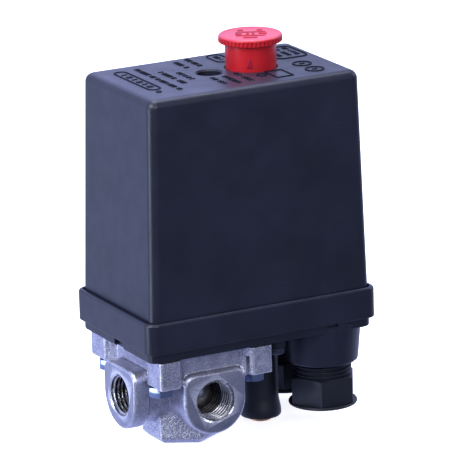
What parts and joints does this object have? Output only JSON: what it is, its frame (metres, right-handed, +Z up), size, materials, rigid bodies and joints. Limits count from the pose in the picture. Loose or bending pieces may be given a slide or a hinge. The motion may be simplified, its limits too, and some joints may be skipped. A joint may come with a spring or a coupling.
{
  "type": "pressure switch",
  "caption": "Compressor pressure switch: cast port manifold with side ports and a tank port, tall plastic cover, push-pull knob, cable glands and an unloader valve.",
  "frame": {"origin": "centre of the bottom tank port's mouth, where the switch stands on its threaded nipple", "axes": "+Z up along the tank port's axis towards the knob; -X towards the single side port; +X towards the cable glands; the other two side ports face -Y and +Y"},
  "size_m": [0.0802, 0.0514, 0.1251],
  "materials": {
    "black_abs": "satin moulded ABS",
    "black_nylon": "satin moulded nylon",
    "red_plastic": "semi-gloss moulded",
    "cast_aluminium": "as cast, machined port faces",
    "zinc_plated_steel": "bright zinc plate",
    "spring_steel": "drawn wire",
    "brass": "turned",
    "contact_copper": "stamped strip",
    "rubber": "matte moulded",
    "terminal_bakelite": "matte phenolic"
  },
  "bodies": {
    "root": {"base_tray": "black_abs", "manifold": "cast_aluminium", "flange_bolt_1": "zinc_plated_steel", "flange_bolt_2": "zinc_plated_steel", "flange_bolt_3": "zinc_plated_steel", "flange_bolt_4": "zinc_plated_steel", "gland_front": "black_nylon", "gland_rear": "black_nylon", "gland_seal_front": "rubber", "gland_seal_rear": "rubber", "unloader_sleeve": "black_nylon", "unloader_nozzle": "brass", "unloader_spring": "spring_steel", "diaphragm": "rubber", "mounting_frame": "zinc_plated_steel", "range_spring": "spring_steel", "lever_pin": "spring_steel", "terminal_block": "terminal_bakelite", "block_screw_front": "zinc_plated_steel", "block_screw_rear": "zinc_plated_steel", "terminal_1": "contact_copper", "terminal_2": "contact_copper", "terminal_3": "contact_copper", "terminal_4": "contact_copper", "terminal_screw_1": "zinc_plated_steel", "terminal_screw_2": "zinc_plated_steel", "terminal_screw_3": "zinc_plated_steel", "terminal_screw_4": "zinc_plated_steel", "earth_screw": "brass"},
    "cover_body": {"cover": "black_abs"},
    "cover_screw_body": {"cover_screw": "zinc_plated_steel"},
    "knob_body": {"knob": "red_plastic", "knob_stem": "black_nylon"},
    "lever_body": {"lever": "zinc_plated_steel"},
    "piston_body": {"diaphragm_piston": "black_nylon"},
    "unloader_pin_body": {"unloader_pin": "brass"},
    "carrier_body": {"contact_carrier": "terminal_bakelite", "contact_bridge_front": "contact_copper", "contact_bridge_rear": "contact_copper"},
    "adjusting_screw_body": {"adjusting_screw": "zinc_plated_steel"},
    "spring_nut_body": {"spring_nut": "zinc_plated_steel"}
  },
  "joints": [
    {"name": "cover_lift", "type": "slide", "parent": "root", "child": "cover_body", "axis": [0, 0, 1], "range_m": [0, 0.06]},
    {"name": "cover_screw_turn", "type": "hinge", "parent": "cover_body", "child": "cover_screw_body", "pos_m": [0.0123, 0, 0.1002], "axis": [0, 0, 1], "continuous": true},
    {"name": "knob_push", "type": "slide", "parent": "cover_body", "child": "knob_body", "axis": [0, 0, 1], "range_m": [-0.007, 0]},
    {"name": "lever_tilt", "type": "hinge", "parent": "root", "child": "lever_body", "pos_m": [0.012, 0, 0.0447], "axis": [0, 1, 0], "range_deg": [0, 5], "stiffness_Nm_per_rad": 0.05, "springref_deg": -17.19},
    {"name": "piston_lift", "type": "slide", "parent": "root", "child": "piston_body", "axis": [0, 0, 1], "range_m": [0, 0.0011]},
    {"name": "unloader_push", "type": "slide", "parent": "root", "child": "unloader_pin_body", "axis": [0, 0, 1], "range_m": [-0.0014, 0], "deforming": ["unloader_spring"]},
    {"name": "contact_open", "type": "slide", "parent": "root", "child": "carrier_body", "axis": [0, 0, 1], "range_m": [-0.0014, 0]},
    {"name": "spring_nut_travel", "type": "slide", "parent": "root", "child": "spring_nut_body", "axis": [0, 0, 1], "range_m": [-0.004, 0.002], "deforming": ["range_spring"]},
    {"name": "pressure_adjust", "type": "hinge", "parent": "root", "child": "adjusting_screw_body", "pos_m": [0, 0, 0.0896], "axis": [0, 0, 1], "range_deg": [-725, 1445]}
  ],
  "couplings": [
    {"joint": "piston_lift", "follows": "lever_tilt", "m_per_rad": 0.012},
    {"joint": "unloader_push", "follows": "lever_tilt", "m_per_rad": -0.0149},
    {"joint": "contact_open", "follows": "lever_tilt", "m_per_rad": -0.0155},
    {"joint": "pressure_adjust", "follows": "spring_nut_travel", "rad_per_m": -6283.2}
  ]
}
